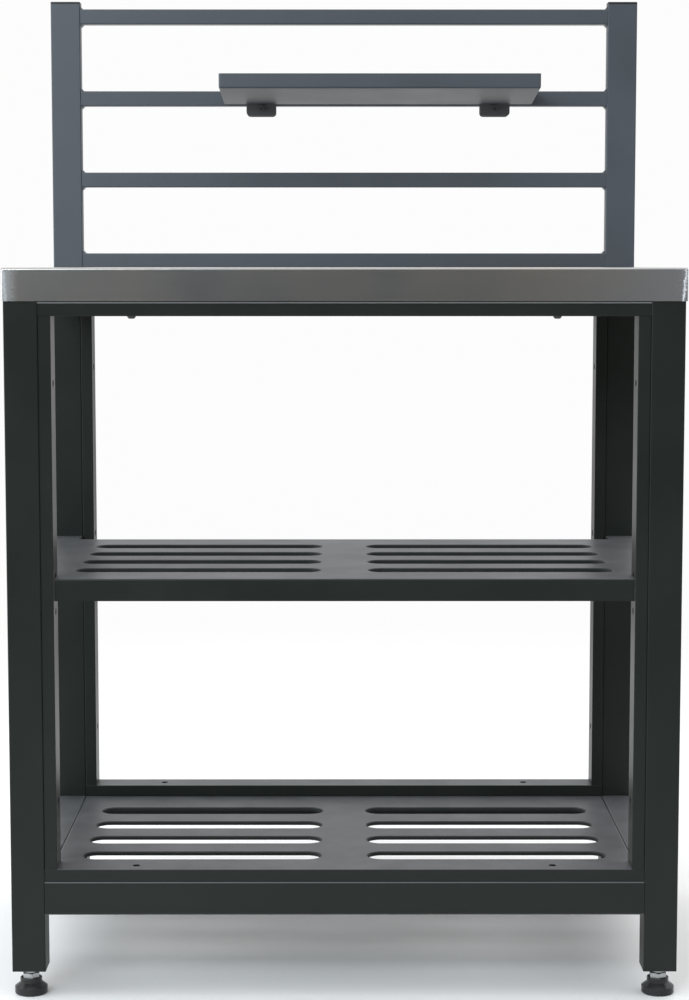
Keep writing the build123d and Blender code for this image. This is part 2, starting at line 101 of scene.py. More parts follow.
class Nodes:
    """A tree of nodes, with short ways to add and link them."""

    def __init__(self, tree):
        self.tree = tree

    def add(self, kind, **values):
        """A node of a kind, with socket values by name; a value that is an output is linked."""
        node = self.tree.nodes.new("ShaderNode" + kind)
        for name, value in values.items():
            self.set(node.inputs[name.replace("_", " ")], value)
        return node

    def set(self, socket, value):
        """Link an output to a socket, or give the socket a constant."""
        if isinstance(value, bpy.types.NodeSocket):
            self.tree.links.new(value, socket)
        else:
            socket.default_value = value

    def span(self, value, low, high, start=0.3, end=0.7, kind="LINEAR"):
        """Map a value between start and end to the range from low to high."""
        node = self.add("MapRange", Value=value)
        node.interpolation_type = kind
        for name, number in zip(RANGE_SOCKETS, (start, end, low, high)):
            node.inputs[name].default_value = number
        return node.outputs["Result"]

    def sum(self, way, first, second=0.0):
        """Arithmetic on one or two numbers, such as ADD, MULTIPLY or ABSOLUTE."""
        node = self.add("Math")
        node.operation = way
        self.set(node.inputs[0], first)
        self.set(node.inputs[1], second)
        return node.outputs[0]

    def blend(self, factor, first, second):
        """A mix of two numbers."""
        node = self.add("Mix", Factor=factor)
        self.set(node.inputs[2], first)
        self.set(node.inputs[3], second)
        return node.outputs[0]

    def mixed(self, factor, first, second, way="MIX"):
        """A mix of two colours."""
        node = self.add("Mix", Factor=factor)
        node.data_type, node.blend_type = "RGBA", way
        self.set(node.inputs["A"], first)
        self.set(node.inputs["B"], second)
        return node.outputs["Result"]


print("node helpers:", [name for name in vars(Nodes) if not name.startswith("_")])

# %% [markdown]
# ## What finishes share
# Paint, metal and plastic all drift a little in tone and gloss and have a fine grain. Paint and plastic are
# also lighter where they look up, partly from dust and partly from painted light from above. The patterns are
# noise on Object coordinates, which stay put on a piece whose place is in its mesh. Image textures could do
# it too, but noise needs no files.

# %% Helpers for a finish
# the patchy film on faces that look up is partly dust and partly painted light from above
DUST_AND_LIGHT_WAVES, THINNEST_DUST_AND_LIGHT = 22.0, 0.65


class Finish(Nodes):
    """A new material with one shader, and the patterns that finishes share."""

    def __init__(self, name):
        self.material = bpy.data.materials.new(name)
        self.material.use_nodes = True
        super().__init__(self.material.node_tree)
        self.shader = self.tree.nodes["Principled BSDF"]

    def feed(self, socket, value):
        """Give one of the shader's sockets a constant or an output."""
        self.set(self.shader.inputs[socket], value)

    def place(self, scale=(1, 1, 1)):
        """Object coordinates stretched by a scale."""
        where = self.add("TexCoord")
        return self.add("Mapping", Vector=where.outputs["Object"], Scale=scale).outputs["Vector"]

    def noise(self, waves, stretch=(1, 1, 1), detail=3.0, rough=0.55):
        """Cloudy noise from 0 to 1 at so many waves a metre."""
        node = self.add("TexNoise", Vector=self.place(stretch), Scale=waves, Detail=detail, Roughness=rough)
        return node.outputs["Fac"]

    def tones(self, value, *stops):
        """A colour ramp through stops of (position, colour)."""
        node = self.add("ValToRGB", Fac=value)
        ramp = node.color_ramp
        while len(ramp.elements) < len(stops):
            ramp.elements.new(0.5)
        for element, (position, colour) in zip(ramp.elements, stops):
            element.position = position
            element.color = (*colour, 1)
        return node.outputs["Color"]

    def facing(self, axis):
        """The part of the surface's direction along X, Y or Z."""
        return self.add("SeparateXYZ", Vector=self.add("NewGeometry").outputs["True Normal"]).outputs[axis]

    def along(self, axis):
        """How far the surface looks along an axis, either way."""
        return self.sum("ABSOLUTE", self.facing(axis))

    def dust_and_top_light(self, colour, dust_and_light, start, end):
        """A colour under a patchy film of dust and painted light from above, which grows as the face turns up
        from start to end.
        """
        # painted light: faces that look up take the lighter tone, partly dust and partly painted light from
        # above
        dust_and_light_share = self.sum("MULTIPLY", self.span(self.facing("Z"), 0, 1, start, end),
                        self.span(self.noise(DUST_AND_LIGHT_WAVES, detail=6.0), THINNEST_DUST_AND_LIGHT, 1.0))
        return self.mixed(dust_and_light_share, colour, (*dust_and_light, 1))

    def bump(self, height, strength, distance):
        """Raise the surface by a height value, and feed the shader's normal."""
        node = self.add("Bump", Height=height, Strength=strength, Distance=distance)
        self.feed("Normal", node.outputs["Normal"])


print("finish helpers:", [name for name in vars(Finish) if not name.startswith("_")])

# %% [markdown]
# ## Floor
# A pale floor catches a soft shadow under the feet. It could end at a wall, but here it is a disc that turns
# clear towards its rim, so no edge shows from any side. It is clear from below, too.

# %% Floor
FLOOR_RADIUS, FLOOR_TONE, FLOOR_ROUGHNESS = 3.0, 0.90, 0.6
FADE_NEAR, FADE_FAR = 0.7, 2.8


def fading_finish(name):
    """A matt surface that turns clear between two distances from the origin, and is clear from below."""
    finish = Finish(name)
    finish.feed("Base Color", (FLOOR_TONE, FLOOR_TONE, FLOOR_TONE, 1))
    finish.feed("Roughness", FLOOR_ROUGHNESS)
    distance = finish.add("VectorMath")
    distance.operation = "LENGTH"
    finish.set(distance.inputs[0], finish.add("TexCoord").outputs["Object"])
    fade = finish.span(distance.outputs["Value"], 0, 1, FADE_NEAR, FADE_FAR, "SMOOTHSTEP")
    below = finish.add("NewGeometry").outputs["Backfacing"]
    either = finish.add("MixShader", Fac=finish.sum("MAXIMUM", fade, below))
    finish.set(either.inputs[1], finish.shader.outputs["BSDF"])
    finish.set(either.inputs[2], finish.add("BsdfTransparent").outputs["BSDF"])
    finish.set(finish.tree.nodes["Material Output"].inputs["Surface"], either.outputs["Shader"])
    return finish


def round_sheet(name, radius, turns=180):
    """A flat disc on the ground: one ring of points at equal angles, and one face."""
    angle = np.linspace(0, 2 * np.pi, turns, endpoint=False)
    ring = radius * np.column_stack([np.cos(angle), np.sin(angle), np.zeros(turns)])
    mesh = bpy.data.meshes.new(name)
    mesh.from_pydata(ring.tolist(), [], [list(range(turns))])
    sheet = bpy.data.objects.new(name, mesh)
    scene.collection.objects.link(sheet)
    return sheet


floor = round_sheet("floor", FLOOR_RADIUS)
floor.data.materials.append(fading_finish("pale_floor").material)
floor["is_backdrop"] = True
print("floor radius:", FLOOR_RADIUS, "m, clear from", FADE_FAR, "m")

# %% [markdown]
# ## Surround
# The camera sees a white backdrop, which keeps the eye on the table. Dark paint shows mostly what it mirrors,
# so the surround that lights the table is another: bright, but dim low in front, which keeps the legs dark.
# An image of a studio could do it, but two ranges of the direction are enough.

# %% Surround
BRIGHT, DIM, BACKDROP = (0.80, 0.80, 0.80, 1), (0.16, 0.162, 0.16, 1), (0.98, 0.98, 0.98, 1)
FRONT_RANGE, LOW_RANGE = (-0.75, 0.05), (0.08, 0.42)

world = bpy.data.worlds.new("surround")
scene.world = world
world.use_nodes = True
surround = Nodes(world.node_tree)
direction = surround.add("SeparateXYZ", Vector=surround.add("TexCoord").outputs["Generated"])
in_front = surround.span(direction.outputs["Y"], 1, 0, *FRONT_RANGE)
low_down = surround.span(direction.outputs["Z"], 1, 0, *LOW_RANGE)
around = surround.mixed(surround.sum("MULTIPLY", in_front, low_down), BRIGHT, DIM)
camera_ray = surround.add("LightPath").outputs["Is Camera Ray"]
background = world.node_tree.nodes["Background"]
surround.set(background.inputs["Color"], surround.mixed(camera_ray, around, BACKDROP))
print("surround nodes:", len(world.node_tree.nodes))

# %% [markdown]
# ## Soft panels
# The light is planned as reflections. A panel overhead brightens the shelves and the worktop, cool panels
# high in front and to the left are mirrored by the rack, and a small warm one on the right by the worktop's
# skirt. Point lamps would be simpler, but they leave hard spots on the steel.

# %% Soft panels
def soft_panel(name, place, aim, size, power, colour=(1, 1, 1)):
    """A rectangular lamp at a place, turned so that its face looks at the aim point."""
    data = bpy.data.lights.new(name, "AREA")
    data.shape = "RECTANGLE"
    data.size, data.size_y = size
    data.energy = power
    data.color = colour
    lamp = bpy.data.objects.new(name, data)
    lamp.location = place
    ahead = np.array(aim, float) - np.array(place, float)
    pitch = math.atan2(math.hypot(ahead[0], ahead[1]), -ahead[2])
    lamp.rotation_euler = (pitch, 0, math.atan2(-ahead[0], ahead[1]))
    scene.collection.objects.link(lamp)


soft_panel("overhead", place=(0.2, 1.3, 3.4), aim=(0.0, 0.6, 0.5), size=(7.0, 6.0), power=112)
soft_panel("front_high", place=(-3.3, -5.8, 3.8), aim=(0.0, 0.2, 1.1), size=(4.8, 3.0), power=245,
           colour=(0.78, 0.91, 1.0))
soft_panel("front_left", place=(-2.2, -6.0, 2.4), aim=(-0.3, 0.2, 1.1), size=(1.6, 1.0), power=28,
           colour=(0.84, 0.93, 1.0))
soft_panel("right_low", place=(2.1, -6.0, 0.9), aim=(0.3, 0.0, 0.8), size=(2.2, 0.9), power=2.6,
           colour=(1.0, 0.99, 0.95))
soft_panel("left_low", place=(-2.6, -0.7, 0.9), aim=(0.0, 0.0, 0.5), size=(1.6, 1.4), power=26,
           colour=(0.90, 0.96, 1.0))
scene.view_settings.view_transform = "Standard"

# %% [markdown]
# ## Finishes
# Five finishes cover the table. Powder coat is a dark grey paint, bluer on the rack, with a fine orange-peel
# skin. The worktop is brushed stainless. Stems and hexagon bolts are zinc plated, small bolts are blackened,
# and the feet and caps are moulded plastic. Each solid could be listed by hand, but the names of the solids
# already say which finish each one gets.

# %% Which solids get which finish
def named(*starts):
    """The solids whose names begin in one of these ways."""
    return [name for name in nodes if name.startswith(starts)]


def paint(names, finish):
    """Give solids a finish in every material slot."""
    for name in names:
        slots = nodes[name].data.materials
        if len(slots) == 0:
            slots.append(finish.material)
        for index in range(len(slots)):
            slots[index] = finish.material
    print(finish.material.name, "on", len(names), "nodes")


# the lock screws are listed apart, for a black oxide lifted by painted light
black_names, shade_lifted_names = named("worktop_bolts", "low_shelf_bolts", "lock_screw_nuts"), named("lock_screws")
zinc_names = named("worktop_bosses", "rack_bolts", "rack_spacers", "shelf_studs", "shelf_nuts", "lock_nuts",
                   "foot_stem")
plastic_names = named("leg_plugs", "rack_caps", "foot_pad")
rack_names, hook_names = named("rack_post", "rack_bar", "tray"), named("hook")
upper_names, lower_names = named("top_rail"), named("low_rail")
fittings = black_names + shade_lifted_names + zinc_names + plastic_names + ["worktop"]
coloured = rack_names + hook_names + upper_names + lower_names
frame_names = [name for name in nodes if name not in fittings + coloured]
print("frame:", len(frame_names), "other painted solids:", len(coloured), "fittings:", len(fittings))

# %% [markdown]
# ### Powder coat
# Sprayed powder melts into a skin with ripples a millimetre or two across, and dries a little uneven, so its
# gloss drifts from place to place. Two noises do this: a fine one lifts the surface by hundredths of a
# millimetre, and a broad one varies the tone and roughness. Faces that look up are lighter, partly from a
# thin film of dust and partly from painted light from above, which is what makes the shelves read lighter
# than the legs. The rails' long corners carry painted highlights: pale lines where light would catch the
# rounded edge.
# Only a corner looks partly up or down, which picks it out. The two hooks of the tray are a plain mid grey,
# with painted light that lifts them out of the shade that the tray casts on them.

# %% Powder coat
DRIFT_WAVES, SPECK_WAVES, SPECK_SHARE = 6.0, 900.0, 0.25
PEEL_WAVES, PEEL_STRENGTH, PEEL_HEIGHT = 650.0, 0.22, 0.00012
GLOSSIER, DULLER = 0.04, 0.06
DUST_AND_LIGHT_RANGE = (0.5, 0.95)
LEAVES_UPRIGHT, BECOMES_FLAT = (0.10, 0.40), (0.93, 0.99)


def powder_coat(name, dark, light, dust_and_light, gloss, level, corner=None):
    """Paint between two tones, with orange peel, drifting gloss, and dust with painted top light on the faces
    that look up. With a corner tone, the lying corners, which look partly up or down, get a painted
    highlight."""
    finish = Finish(name)
    finish.feed("Specular IOR Level", level)
    drift = finish.noise(DRIFT_WAVES, detail=4.0)
    tone = finish.blend(SPECK_SHARE, drift, finish.noise(SPECK_WAVES, detail=2.0))
    coat = finish.dust_and_top_light(finish.tones(tone, (0.3, dark), (0.7, light)), dust_and_light, *DUST_AND_LIGHT_RANGE)
    # painted highlight: corners that look partly up or down take the pale corner tone, in place of light
    # caught on the edge
    if corner:
        steep = finish.along("Z")
        not_upright = finish.span(steep, 0, 1, *LEAVES_UPRIGHT)
        not_flat = finish.span(steep, 1, 0, *BECOMES_FLAT)
        coat = finish.mixed(finish.sum("MULTIPLY", not_upright, not_flat), coat, (*corner, 1))
    finish.feed("Base Color", coat)
    finish.feed("Roughness", finish.span(drift, gloss - GLOSSIER, gloss + DULLER))
    finish.bump(finish.noise(PEEL_WAVES, detail=1.5), PEEL_STRENGTH, PEEL_HEIGHT)
    return finish


# the third tone of each set is dust on faces that look up, and it is also painted light from above
FRAME_TONES = (0.0108, 0.0134, 0.0113), (0.0156, 0.0187, 0.0160), (0.112, 0.115, 0.122)
RACK_TONES = (0.051, 0.059, 0.071), (0.063, 0.073, 0.088), (0.10, 0.105, 0.115)
# painted light: the hooks' grey is lifted to make up for the shade that the tray casts on them
HOOK_LIFTED_TONES = (0.106, 0.109, 0.112), (0.128, 0.131, 0.134), (0.13, 0.135, 0.14)
# painted highlights: pale tones for the lying corners of the top rails and of the low rails
UPPER_CORNER_HIGHLIGHT, LOWER_CORNER_HIGHLIGHT = (0.265, 0.272, 0.272), (0.105, 0.110, 0.111)
FRAME_SHEEN = {"gloss": 0.38, "level": 0.2}
RACK_SHEEN = {"gloss": 0.42, "level": 0.6}

paint(frame_names, powder_coat("frame_coat", *FRAME_TONES, **FRAME_SHEEN))
# the two rail coats carry painted highlights along their lying corners
paint(upper_names, powder_coat("upper_rail_coat_painted_highlight", *FRAME_TONES, **FRAME_SHEEN, corner=UPPER_CORNER_HIGHLIGHT))
paint(lower_names, powder_coat("lower_rail_coat_painted_highlight", *FRAME_TONES, **FRAME_SHEEN, corner=LOWER_CORNER_HIGHLIGHT))
paint(rack_names, powder_coat("rack_coat", *RACK_TONES, **RACK_SHEEN))
# the hooks' coat is a plain grey lifted by painted light out of the tray's shade
paint(hook_names, powder_coat("hook_coat_lifted_from_shade", *HOOK_LIFTED_TONES, **RACK_SHEEN))

# %% [markdown]
# ### Corner welds and a painted highlight
# The worktop's skirts are welded at the corners and the weld is ground off, which leaves a paler band. Along
# it runs a painted highlight, a bright line where the ground facet would catch the light, stronger on the
# right. They could be thin pieces of their own, but they have no height, so they are tones: both follow from
# the distance to the corner, and noise on that distance makes the line ragged.

# %% Corner welds and a painted highlight
GROUND_SHARE, GROUND_RANGE = 0.4, (0.006, 0.020)
# the line values shape a painted highlight: a bright line along each ground weld
LINE_SHARE, LINE_RANGE = 0.8, (0.0005, 0.0018)
LINE_FOOT, LINE_HEAD = 0.0056, 0.0026
LINE_WAVES, LINE_RAGGED = 300.0, 0.0030
# the painted highlight is full at the right end of the skirt and a quarter as strong at the left
LEFT_SHARE, RIGHT_SHARE = 0.25, 1.0
UPRIGHT_RANGE = (0.1, 0.5)


def weld_band_and_highlight(finish, sideways, low, high):
    """The shares of the ground band and of the painted highlight line, from 0 to 1. The distance to the
    corner is the half width less |x|, or the half depth less |y| on a face that looks sideways. The highlight
    line leans away from the corner between the skirt's top and foot, and fades from the right end to the
    left."""
    place = finish.add("SeparateXYZ", Vector=finish.place())
    from_side = finish.sum("SUBTRACT", high[0], finish.sum("ABSOLUTE", place.outputs["X"]))
    from_end = finish.sum("SUBTRACT", high[1], finish.sum("ABSOLUTE", place.outputs["Y"]))
    away = finish.blend(sideways, from_side, from_end)
    upright = finish.span(finish.along("Z"), 1, 0, *UPRIGHT_RANGE)
    ground = finish.sum("MULTIPLY", upright, finish.span(away, GROUND_SHARE, 0, *GROUND_RANGE))
    wander = finish.noise(LINE_WAVES, detail=6.0, rough=0.7)
    ragged = finish.sum("ADD", away, finish.span(wander, -LINE_RAGGED, LINE_RAGGED))
    lean = finish.span(place.outputs["Z"], LINE_FOOT, LINE_HEAD, low[2], high[2])
    off_line = finish.sum("ABSOLUTE", finish.sum("SUBTRACT", ragged, lean))
    # painted highlight: the line is strongest at the right end and fades to the left
    brighter_right = finish.span(place.outputs["X"], LEFT_SHARE, RIGHT_SHARE, -high[0], high[0])
    line = finish.span(off_line, LINE_SHARE, 0, *LINE_RANGE)
    return ground, finish.sum("MULTIPLY", finish.sum("MULTIPLY", upright, brighter_right), line)


print("weld line:", LINE_HEAD * 1000, "to", LINE_FOOT * 1000, "mm from the corner")

# %% [markdown]
# ### Brushed stainless
# The worktop is rubbed along its length with an abrasive belt, so thousands of hair-thin scratches run
# one way. Noise stretched five hundredfold along X gives such streaks. The two short skirts are rubbed
# along Y instead, so the direction that a face looks in picks between two stretched noises.

# %% Brushed stainless
HAIR_WAVES, HAIR_STRETCH, SMEAR_WAVES = 6.0, 500, 3.5
HAIR_STRENGTH, HAIR_HEIGHT = 0.05, 0.0001
COOL, PLAIN, WARM = (0.385, 0.395, 0.42), (0.435, 0.427, 0.415), (0.455, 0.42, 0.385)
SCRATCHED, SMOOTH = (0.90, 0.90, 0.90), (1.0, 1.0, 1.0)
# the last tone here is a painted highlight: near-white metal for the bright line along each ground weld
GROUND_TONE, HIGHLIGHT_LINE_TONE = (0.50, 0.515, 0.55, 1), (0.93, 0.94, 0.96, 1)
HAIR_ROUGHNESS, SMEAR_ROUGHNESS = (0.15, 0.22), (0.0, 0.06)
GROUND_ROUGHNESS, LINE_ROUGHNESS = 0.25, 0.85
SIDEWAYS_RANGE = (0.6, 0.8)


def brushed_stainless(name, low, high):
    """Metal with fine streaks along X, or along Y where the face looks sideways, under cool and warm smears,
    with ground welds and a painted highlight line at the corners of a worktop between a low and a high point."""
    finish = Finish(name)
    along_x = finish.noise(HAIR_WAVES, (1, HAIR_STRETCH, HAIR_STRETCH), detail=5.0, rough=0.75)
    along_y = finish.noise(HAIR_WAVES, (HAIR_STRETCH, 1, HAIR_STRETCH), detail=5.0, rough=0.75)
    sideways = finish.span(finish.along("X"), 0, 1, *SIDEWAYS_RANGE)
    hair = finish.blend(sideways, along_x, along_y)
    smear = finish.noise(SMEAR_WAVES, detail=5.0)
    tint = finish.tones(smear, (0.34, COOL), (0.50, PLAIN), (0.66, WARM))
    scratches = finish.tones(hair, (0.25, SCRATCHED), (0.75, SMOOTH))
    metal = finish.mixed(1.0, tint, scratches, "MULTIPLY")

    ground, line = weld_band_and_highlight(finish, sideways, low, high)
    metal = finish.mixed(ground, metal, GROUND_TONE)
    # painted highlight: the bright line along each weld
    finish.feed("Base Color", finish.mixed(line, metal, HIGHLIGHT_LINE_TONE))
    finish.feed("Metallic", 1.0)
    rough = finish.sum("ADD", finish.span(hair, *HAIR_ROUGHNESS), finish.span(smear, *SMEAR_ROUGHNESS))
    rough = finish.sum("ADD", rough, finish.sum("MULTIPLY", ground, GROUND_ROUGHNESS))
    finish.feed("Roughness", finish.blend(line, rough, LINE_ROUGHNESS))
    finish.bump(hair, HAIR_STRENGTH, HAIR_HEIGHT)
    return finish


corners = [tuple(float(number) for number in corner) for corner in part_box("worktop")]
paint(["worktop"], brushed_stainless("brushed_stainless", *corners))

# %% [markdown]
# ### Zinc plate, black oxide and moulded plastic
# Bright zinc is a soft bluish metal with faint clouds from the plating bath. The small bolts of the worktop,
# the bottom shelf and the tray are blackened instead, so that they vanish against the paint. The tray's lock
# screws are a paler grey: painted light that lifts them out of the shade under the tray. The feet and caps
# are black nylon, with the fine grain of a spark-eroded mould. Each recipe could be written out, but they
# share
# one: a cloud of noise drives the tone and the roughness, and a much finer noise gives the grain.

# %% Zinc plate, black oxide and moulded plastic
METAL_GRAIN = {"waves": 1500.0, "detail": 3.0, "strength": 0.12, "height": 0.00005}
MOULD_GRAIN = {"waves": 2200.0, "detail": 1.0, "strength": 0.25, "height": 0.00008}
ZINC_STOPS = (0.3, (0.33, 0.34, 0.35)), (0.55, (0.40, 0.41, 0.415)), (0.75, (0.42, 0.405, 0.385))
BLACK_STOPS = (0.3, (0.040, 0.041, 0.043)), (0.7, (0.062, 0.063, 0.066))
# painted light: the lock screws' oxide is lifted to a paler grey to make up for the shade under the tray
SHADE_LIFTED_STOPS = (0.3, (0.120, 0.122, 0.125)), (0.7, (0.155, 0.157, 0.160))
PLASTIC_STOPS = (0.3, (0.010, 0.010, 0.011)), (0.7, (0.018, 0.018, 0.019))
# the plastic's lighter tone on faces that look up is dust together with painted light from above
PLASTIC_LEVEL, PLASTIC_DUST_AND_LIGHT, PLASTIC_DUST_AND_LIGHT_RANGE = 0.35, (0.030, 0.032, 0.032), (0.35, 0.9)


def cloudy(name, waves, detail, stops, rough, grain):
    """A finish whose tone and roughness follow a cloud of noise, with a fine grain, and that tone."""
    finish = Finish(name)
    cloud = finish.noise(waves, detail=detail)
    finish.feed("Roughness", finish.span(cloud, *rough))
    finish.bump(finish.noise(grain["waves"], detail=grain["detail"]), grain["strength"], grain["height"])
    return finish, finish.tones(cloud, *stops)


def cloudy_metal(name, metallic, waves, stops, rough):
    """Plated or blackened steel: its cloudy tone is the colour of the metal itself."""
    finish, tone = cloudy(name, waves, 4.0, stops, rough, METAL_GRAIN)
    finish.feed("Base Color", tone)
    finish.feed("Metallic", metallic)
    return finish


def moulded_plastic(name):
    """Black plastic with an even fine grain, lighter where it looks up, from dust and painted light from
    above.
    """
    finish, tone = cloudy(name, 40.0, 3.0, PLASTIC_STOPS, (0.26, 0.36), MOULD_GRAIN)
    finish.feed("Specular IOR Level", PLASTIC_LEVEL)
    finish.feed("Base Color", finish.dust_and_top_light(tone, PLASTIC_DUST_AND_LIGHT, *PLASTIC_DUST_AND_LIGHT_RANGE))
    return finish


OXIDE = {"metallic": 0.4, "waves": 90.0, "rough": (0.30, 0.45)}
zinc = cloudy_metal("zinc_plate", metallic=1.0, waves=120.0, stops=ZINC_STOPS, rough=(0.22, 0.40))
blackened = cloudy_metal("black_oxide", stops=BLACK_STOPS, **OXIDE)
paint(zinc_names, zinc)
paint(black_names, blackened)
# the lock screws get the black oxide lifted by painted light
paint(shade_lifted_names, cloudy_metal("oxide_lifted_from_shade", stops=SHADE_LIFTED_STOPS, **OXIDE))
paint(plastic_names, moulded_plastic("moulded_plastic"))

# %% [markdown]
# ## Turned pieces
# Bolts, nuts and screw stems are all bars of round or hexagon section, turned on a lathe. One function
# can make them all: it carries a section up an axis, ring by ring. Each ring has a height, a round limit
# and, if it is part of a hexagon, a width across flats. Taking the smaller of the two radii at each
# angle gives the arched chamfer of a real nut. A thread moves the radius with height and angle together.

# %% Lathe work as a surface of two parameters
TURNS = 48


def turned(rings, pitch=0.0, depth=0.0, thread=(0.0, 0.0), spin=0.0):
    """Points of a turned bar. At angle a and ring (z, r, f) the radius is r, or for a hexagon the smaller
    of r and f / 2 / cos(a less the spin, folded into one flat). Between the two thread heights it loses
    the depth times a triangle wave of z / pitch - a / full turn."""
    z, limit, flats = (np.array(column, float)[:, None] for column in zip(*rings))
    angle = np.linspace(0, 2 * np.pi, TURNS, endpoint=False)[None, :]
    folded = (angle - spin) % (np.pi / 3) - np.pi / 6
    radius = np.minimum(limit, np.where(flats > 0, flats / 2 / np.cos(folded), np.inf))
    if pitch:
        wave = np.abs(((z / pitch - angle / (2 * np.pi)) % 1.0) * 2 - 1)
        radius = radius - np.where((z >= thread[0]) & (z <= thread[1]), depth * wave, 0)
    return np.stack([radius * np.cos(angle), radius * np.sin(angle), np.broadcast_to(z, radius.shape)], -1)


def stand(grid, place, axis=(0, 0, 1)):
    """Turn a bar so that its own Z looks along another axis, and move its foot to a place."""
    third = np.array(axis, float)
    first = np.array((0.0, 1.0, 0.0) if abs(third[0]) > 0.5 else (1.0, 0.0, 0.0))
    return grid @ np.stack([first, np.cross(third, first), third]) + np.array(place, float)


print("points round a bar:", TURNS)

# %% [markdown]
# ### From points to pieces
# The table's bolts come in sets, such as the four that hold the worktop. Each bolt could be an object, but
# a set stands for one solid, so it is one mesh. It takes that solid's place, moves with the same body and
# has the same finish.

# %% Turned bars as one piece
def ring_faces(rows, bored):
    """Quads of a grid that closes round the axis. A bored piece closes from its last ring to its first,
    and a solid one gets a cap at each end."""
    row, col = np.meshgrid(np.arange(rows if bored else rows - 1), np.arange(TURNS), indexing="ij")
    above, after = (row + 1) % rows, (col + 1) % TURNS
    quads = np.stack([row * TURNS + col, row * TURNS + after, above * TURNS + after, above * TURNS + col], -1)
    foot = np.arange(TURNS)
    head = foot + (rows - 1) * TURNS
    caps = [] if bored else [foot[::-1].tolist(), head.tolist()]
    return quads.reshape(-1, 4).tolist() + caps


def set_of_turned(name, grids, finish, bored=False):
    """One mesh object of several turned bars, each a grid of points already in place."""
    faces, start = [], 0
    for grid in grids:
        rows = grid.shape[0]
        faces += [[index + start for index in face] for face in ring_faces(rows, bored)]
        start += rows * TURNS
    mesh = bpy.data.meshes.new(name)
    mesh.from_pydata(np.concatenate([grid.reshape(-1, 3) for grid in grids]).tolist(), [], faces)
    mesh.materials.append(finish.material)
    piece = bpy.data.objects.new(name, mesh)
    scene.collection.objects.link(piece)
    print(name, "bars:", len(grids), "faces:", len(mesh.polygons))
    return piece


def fit(piece, node, body):
    """Let a piece stand for a CAD node: hide the node and hang the piece on a body."""
    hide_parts(node)
    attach(piece, body)


def two_ends(low, high, margin):
    """The two middles that a row of two equal pieces has inside its span."""
    return low + margin, high - margin


# %% [markdown]
# ### Hexagons
# A nut or a bolt head is cut from hexagon bar, and its ends are turned to a cone so that no corner catches a
# hand. The cone could be a Bevel, but as rings it is exact: the round limit grows from just inside the flats
# to the corners, and shrinks again at the other end.

# %% Hexagon rings
ACROSS_CORNERS = 1 / math.cos(math.pi / 6)
CHAMFER_START, CHAMFER_ANGLE, CHAMFER_RINGS = 0.97, math.pi / 6, 5


def hexagon_rings(flats, low, high):
    """Rings of a hexagon from low to high, whose round limit shrinks at both ends to a 30 degree chamfer."""
    small, large = flats / 2 * CHAMFER_START, flats / 2 * ACROSS_CORNERS
    rise = (large - small) * math.tan(CHAMFER_ANGLE)
    steps = np.linspace(0, 1, CHAMFER_RINGS)
    foot = [(low + rise * t, small + (large - small) * t, flats) for t in steps]
    head = [(high - rise * t, small + (large - small) * t, flats) for t in steps[::-1]]
    return foot + head


print("a hexagon's corners are", round(ACROSS_CORNERS, 4), "times as far apart as its flats")

# %% [markdown]
# ### Levelling stems
# Each foot is a screw: a spigot turns in the pad, a hexagon takes the spanner, and a metric thread climbs
# into the leg. When the foot is screwed out, the thread shows between the hexagon and the lock nut. Each
# foot was screwed to its own angle, so no two hexagons look the same way.
# The thread could be a swept helix, but the lathe function makes it with one triangle wave.

# %% Levelling stems
STEM_RADIUS, STEM_FLATS = 0.005, 0.019
HEX_LOW, HEX_HIGH = 0.0133, 0.026
STEM_PITCH, STEM_THREAD_DEPTH, RINGS_A_PITCH = 0.0015, 0.00085, 6
RUN_IN, RUN_OUT, BAR_END = 0.0008, 0.0013, 0.0012
STEM_CHAMFER, SPIGOT_END, TIP_START, TIP_END = 0.001, 0.8, 0.86, 0.75
STEM_ANGLES = {"front_left": 41, "front_right": 30, "rear_left": 17, "rear_right": 52}


def stem_rings(low, high):
    """Rings of one stem: spigot, hexagon, threaded bar and chamfered tip."""
    spigot = [(low, STEM_RADIUS * SPIGOT_END, 0), (low + STEM_CHAMFER, STEM_RADIUS, 0),
              (HEX_LOW, STEM_RADIUS, 0)]
    heights = np.arange(HEX_HIGH, high - BAR_END, STEM_PITCH / RINGS_A_PITCH)
    bar = [(z, STEM_RADIUS, 0) for z in heights]
    tip = [(high - STEM_CHAMFER, STEM_RADIUS * TIP_START, 0), (high, STEM_RADIUS * TIP_END, 0)]
    return spigot + hexagon_rings(STEM_FLATS, HEX_LOW, HEX_HIGH) + bar + tip


for corner, angle in STEM_ANGLES.items():
    node = f"foot_stem_{corner}"
    low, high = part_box(node)
    rings = stem_rings(low[2], high[2])
    thread = (HEX_HIGH + RUN_IN, high[2] - RUN_OUT)
    grid = turned(rings, STEM_PITCH, STEM_THREAD_DEPTH, thread, math.radians(angle))
    grid = stand(grid, ((low[0] + high[0]) / 2, (low[1] + high[1]) / 2, 0))
    fit(set_of_turned(f"threaded_stem_{corner}", [grid], zinc), node, f"stem_{corner}")

# %% [markdown]
# ### Bolts with hexagon sockets
# The worktop is held from below, and the bottom shelf from inside, by button-head bolts. A hexagon key
# turns them, so each low dome has a socket. Cutting the socket with a Boolean would leave long thin faces.
# As rings it is simpler: they start on the socket's floor, climb its wall, and run over the dome and down
# the shank.

# %% Bolts with hexagon sockets
HEAD_RADIUS, HEAD_HEIGHT, HEAD_EDGE = 0.00525, 0.0033, 0.0004
SHANK_RADIUS, SHANK_TIP, SHANK_END = 0.003, 0.0005, 0.8
SOCKET_FLATS, SOCKET_DEPTH, SOCKET_EDGE, SOCKET_RIM = 0.004, 0.0020, 0.0002, 0.0004
NO_LIMIT = 1
LOW_BOLT_LENGTH = 0.0193


